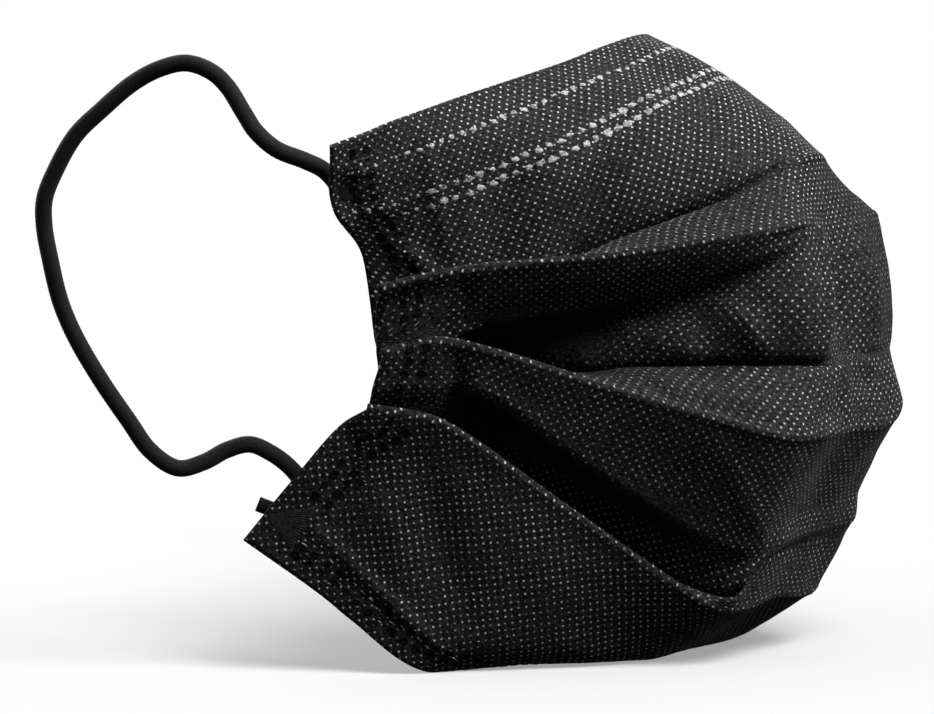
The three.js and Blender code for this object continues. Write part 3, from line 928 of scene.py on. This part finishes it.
class SURGICALMASK_OT_ear_loops(bpy.types.Operator):
    """Knits the two ear elastics along their routes"""

    bl_idname = "surgical_mask.ear_loops"
    bl_label = "Ear loops"

    WALES = 16
    STITCH = 0.75  # mm

    def swell(self, angle, distance):
        ribs = np.abs(np.cos(self.WALES / 2 * angle))
        lean = 2 * math.pi * distance / self.STITCH
        stitches = np.cos(lean + np.round(angle * self.WALES / (2 * math.pi)) * math.pi)
        return 0.95 + 0.035 * ribs + 0.015 * stitches

    def execute(self, context):
        sizes, colours = context.scene.mask_sizes, context.scene.mask_colours
        elastic = material_named("polyester_elastic", knitted_elastic, colours)
        loops = (("left", LOOP_LEFT), ("right", LOOP_RIGHT))
        for side, route in loops:
            data = tube(route, sizes.cord_diameter / 2, 48, 0.25 * MM, self.swell)
            piece = mesh_piece(f"ear_elastic_{side}", *data, elastic)
            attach(piece, "root")
            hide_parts(f"ear_loop_{side}")
        return {"FINISHED"}


class SURGICALMASK_OT_cord_ends(bpy.types.Operator):
    """Makes the cut tail of each elastic, and its flattened ends under the welds"""

    bl_idname = "surgical_mask.cord_ends"
    bl_label = "Cord ends"

    def swell(self, angle, distance):
        return 0.95 + 0.05 * np.abs(np.cos(8 * angle))

    def execute(self, context):
        sizes, colours = context.scene.mask_sizes, context.scene.mask_colours
        elastic = material_named("polyester_elastic", knitted_elastic, colours)
        for side, flip in (("left", 1), ("right", -1)):
            route = [(x * flip, y, z) for x, y, z in TAIL_LEFT]
            data = tube(route, sizes.cord_diameter / 2 * 0.9, 48, 0.25 * MM, self.swell)
            piece = mesh_piece(f"elastic_tail_{side}", *data, elastic)
            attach(piece, "root")
            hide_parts(f"cord_tail_{side}")
        for name in [name for name in frame["nodes"] if "_weld_" in name]:
            piece = mesh_piece(name.replace("weld", "elastic_end"), *flattened_end(name), elastic)
            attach(piece, "root")
            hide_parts(name)
        return {"FINISHED"}


class SURGICALMASK_OT_cloth(bpy.types.Operator):
    """Folds the cloth"""

    bl_idname = "surgical_mask.cloth"
    bl_label = "Cloth"

    def execute(self, context):
        sizes, colours = context.scene.mask_sizes, context.scene.mask_colours
        cloth = fold_cloth(sizes)
        rows, columns = cloth.u.shape
        points = np.concatenate([cloth.outer.reshape(-1, 3), cloth.inner.reshape(-1, 3)])
        uv = np.stack([cloth.u.ravel(), cloth.v.ravel()], axis=1)
        piece = mesh_piece("pleated_cloth", points, shell_faces(rows, columns),
                           np.concatenate([uv, uv]), spunbond_polypropylene(sizes, colours))
        # how clearly the points show, with painted shade in the pleat hollows and some patches
        clarity = piece.data.attributes.new("point_clarity", "FLOAT", "POINT")
        clarity.data.foreach_set("value", np.tile(cloth.clarity.ravel(), 2).astype(np.float32))
        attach(piece, "root")
        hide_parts("mask_body")
        return {"FINISHED"}


class SURGICALMASK_OT_welds(bpy.types.Operator):
    """Presses the weld spots along the top, the sides and the hem, and the fan-shaped welds"""

    bl_idname = "surgical_mask.welds"
    bl_label = "Welds"

    PALE_RINGS = ((1.0, -0.05), (0.85, 0.03), (0.45, 0.09), (0, 0.1))
    PIT_RINGS = ((1.0, -0.06), (0.85, 0.12), (0.6, 0.02), (0, 0.01))
    FAN_RIBS = 17

    def top_rows(self, cloth, pitch):
        parts = []
        chance = np.random.default_rng(11)
        for k, (v, length, width) in enumerate(TOP_WELDS):
            places, sizes = [], []
            for u in np.arange(-84 + pitch * (0.5 * (k % 2)), 84, pitch):
                faint = 0.55 if abs(u) > 68 else 1
                places.append((u + chance.normal(0, 0.1), v + chance.normal(0, 0.12)))
                sizes.append(np.array((length, width)) * chance.uniform(0.8, 1.15, 2) * faint)
            parts.append(spots(cloth, 0, places, sizes, self.PALE_RINGS, 20 + k))
        return joined(parts)

    def side_and_hem_rows(self, cloth, pitch):
        parts = []
        chance = np.random.default_rng(12)
        for panel, first, last in SIDE_WELD_RUNS:
            rows = slice(cloth.starts[panel], cloth.starts[panel + 1])
            for column, inward in ((0, 1), (-1, -1)):
                places = []
                for away in SIDE_WELDS:
                    for v in np.arange(first, last, pitch):
                        edge = np.interp(v, cloth.v[rows, column], cloth.u[rows, column])
                        places.append((edge + inward * (away + chance.normal(0, 0.15)), v))
                sizes = chance.uniform((1.2, 1.4), (2.1, 2.6), (len(places), 2))
                parts.append(spots(cloth, panel, places, sizes, self.PIT_RINGS, 30 + panel))
        places = []
        for away in HEM_WELDS:
            for u in np.arange(-84, 84, pitch * 1.15):
                edge = np.interp(u, cloth.u[-1], cloth.v[-1])
                places.append((u, edge - away + chance.normal(0, 0.12)))
        sizes = chance.uniform((1.4, 1.1), (2.6, 1.9), (len(places), 2))
        parts.append(spots(cloth, 3, places, sizes, self.PIT_RINGS, 40))
        return joined(parts)

    def painted_weld_glints(self, cloth, pitch):
        """Pale slivers beside the hem's pits: painted glints of the melted plastic."""
        chance = np.random.default_rng(13)
        places, sizes = [], []
        for u in np.arange(-84, 84, pitch * 0.8):
            edge = np.interp(u, cloth.u[-1], cloth.v[-1])
            places.append((u, edge - chance.uniform(2.2, 6.2)))
            sizes.append(chance.uniform((0.7, 0.2), (1.7, 0.38)))
        return spots(cloth, 3, places, sizes, self.PALE_RINGS, 41)

    def fan(self, cloth, flip):
        """A ribbed triangle that opens from the elastic's end."""
        pivot, start, end = np.array(FAN_WELD) * (flip, 1)
        across, along = self.FAN_RIBS * 6, 22
        places, lifts = [], []
        for r in np.linspace(0.06, 1, along + 1):
            for t in np.linspace(0, 1, across + 1):
                places.append(pivot + (start + (end - start) * t - pivot) * r)
                inside = min(1, 12 * t, 12 * (1 - t), 10 * (1 - r), 20 * (r - 0.06))
                rib = 0.5 + 0.5 * math.cos(2 * math.pi * self.FAN_RIBS * t)
                lifts.append(-0.06 + (0.1 + 0.13 * rib * min(1, 2 * r)) * inside)
        points = on_cloth(cloth, 3, places, np.array(lifts) * MM)
        grid = np.arange(len(places)).reshape(along + 1, across + 1)
        corners = (grid[:-1, :-1], grid[1:, :-1], grid[1:, 1:], grid[:-1, 1:])
        faces = np.stack([c.ravel() for c in corners[::flip]], axis=1).tolist()
        return points, faces, [tuple(p) for p in places]

    def execute(self, context):
        sizes, colours = context.scene.mask_sizes, context.scene.mask_colours
        cloth = fold_cloth(sizes)
        pitch = sizes.weld_pitch / MM
        pale, black = fused_polypropylene(colours), pressed_polypropylene(colours)
        ribbed = ribbed_polypropylene(colours)
        pieces = (
            mesh_piece("top_weld_spots", *self.top_rows(cloth, pitch), pale),
            mesh_piece("edge_weld_spots", *self.side_and_hem_rows(cloth, pitch), black),
            # pale spots beside the hem's pits, painted glints of the melted plastic
            mesh_piece("hem_weld_fibres", *self.painted_weld_glints(cloth, pitch), pale),
            mesh_piece("fan_weld_left", *self.fan(cloth, 1), ribbed),
            mesh_piece("fan_weld_right", *self.fan(cloth, -1), ribbed),
        )
        for piece in pieces:
            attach(piece, "root")
        return {"FINISHED"}


class SURGICALMASK_OT_stage(bpy.types.Operator):
    """Adds the floor and the soft studio light"""

    bl_idname = "surgical_mask.stage"
    bl_label = "Stage"

    FLOOR_SIZE = 60.0
    KEY_FROM = Vector((0.13, -0.62, 0.77))  # towards the key light, from the mask
    KEY_ANGLE = math.radians(50)             # how wide the key looks from the mask
    KEY_STRENGTH = 4.6
    BACK_FROM = Vector((0.35, 0.85, 0.40))   # towards the weaker light that shows the hollow side
    BACK_ANGLE = math.radians(50)
    BACK_STRENGTH = 2.8
    TOP_FROM = Vector((-0.30, -0.58, 0.76))   # towards the light that falls on the floor
    TOP_ANGLE = math.radians(30)
    TOP_STRENGTH = 2.75
    WASH_STRENGTH = 1.55                     # even light on the floor, from lamps all around
    FILL = 0.42                              # of the surrounding light, above the floor
    UNDER = 0.035                            # and below it

    def floor(self, context):
        half = self.FLOOR_SIZE / 2
        corners = [(-half, -half, 0), (half, -half, 0), (half, half, 0), (-half, half, 0)]
        floor = mesh_piece("floor", corners, [(0, 1, 2, 3)], [(x, y) for x, y, _ in corners],
                           painted_floor(context.scene.mask_colours))
        floor.visible_diffuse = False
        floor.visible_glossy = False
        return floor

    def surroundings(self, context):
        world = bpy.data.worlds.new("studio")
        world.use_nodes = True
        tree = world.node_tree
        tree.nodes.clear()
        direction = add(tree, "ShaderNodeTexCoord").outputs["Generated"]
        height = add(tree, "ShaderNodeSeparateXYZ", Vector=direction).outputs["Z"]
        glow = add(tree, "ShaderNodeMapRange", {"interpolation_type": "SMOOTHSTEP"}, Value=height,
                   From_Min=-0.1, From_Max=0.9, To_Min=self.UNDER, To_Max=self.FILL).outputs[0]
        shader = add(tree, "ShaderNodeBackground", Color=(1, 1, 1, 1), Strength=glow).outputs[0]
        add(tree, "ShaderNodeOutputWorld", Surface=shader)
        context.scene.world = world

    def lamp(self, context, name, towards, angle, strength):
        data = bpy.data.lights.new(name, "SUN")
        data.angle = angle
        data.energy = strength
        light = bpy.data.objects.new(name, data)
        light.rotation_euler = towards.to_track_quat("Z", "Y").to_euler()
        context.scene.collection.objects.link(light)
        return light

    def execute(self, context):
        floor = self.floor(context)
        self.surroundings(context)
        key = self.lamp(context, "key", self.KEY_FROM, self.KEY_ANGLE, self.KEY_STRENGTH)
        top = self.lamp(context, "top", self.TOP_FROM, self.TOP_ANGLE, self.TOP_STRENGTH)
        only_floor = bpy.data.collections.new("lit_by_top")
        only_floor.objects.link(floor)
        top.light_linking.receiver_collection = only_floor
        wash = self.lamp(context, "wash", Vector((0, 0, 1)), 0, self.WASH_STRENGTH)
        wash.data.use_shadow = False
        wash.light_linking.receiver_collection = only_floor
        mask = bpy.data.collections.new("lit_by_key")
        for piece in context.scene.objects:
            if piece.type == "MESH" and piece != floor:
                mask.objects.link(piece)
        key.light_linking.receiver_collection = mask
        back = self.lamp(context, "back", self.BACK_FROM, self.BACK_ANGLE, self.BACK_STRENGTH)
        back.light_linking.receiver_collection = mask
        context.scene.view_settings.view_transform = "Standard"
        return {"FINISHED"}


OPERATORS = (
    SURGICALMASK_OT_camera,
    SURGICALMASK_OT_ear_loops,
    SURGICALMASK_OT_cord_ends,
    SURGICALMASK_OT_cloth,
    SURGICALMASK_OT_welds,
    SURGICALMASK_OT_stage,
)


class SURGICALMASK_PT_build(bpy.types.Panel):
    """Lists the operators and their sizes and colours"""

    bl_idname = "SURGICALMASK_PT_build"
    bl_label = "Surgical Mask"
    bl_space_type = "VIEW_3D"
    bl_region_type = "UI"
    bl_category = "Surgical Mask"

    def draw(self, context):
        column = self.layout.column()
        for group in (context.scene.mask_sizes, context.scene.mask_colours):
            for name in group.__annotations__:
                column.prop(group, name)
        for operator in OPERATORS:
            column.operator(operator.bl_idname)


CLASSES = (MaskSizes, MaskColours, *OPERATORS, SURGICALMASK_PT_build)


def register():
    for cls in CLASSES:
        bpy.utils.register_class(cls)
    bpy.types.Scene.mask_sizes = bpy.props.PointerProperty(type=MaskSizes)
    bpy.types.Scene.mask_colours = bpy.props.PointerProperty(type=MaskColours)


def unregister():
    del bpy.types.Scene.mask_colours
    del bpy.types.Scene.mask_sizes
    for cls in reversed(CLASSES):
        bpy.utils.unregister_class(cls)


def main():
    register()
    bpy.ops.surgical_mask.camera()
    bpy.ops.surgical_mask.ear_loops()
    bpy.ops.surgical_mask.cord_ends()
    bpy.ops.surgical_mask.cloth()
    bpy.ops.surgical_mask.welds()
    bpy.ops.surgical_mask.stage()


if __name__ == "__main__":
    main()
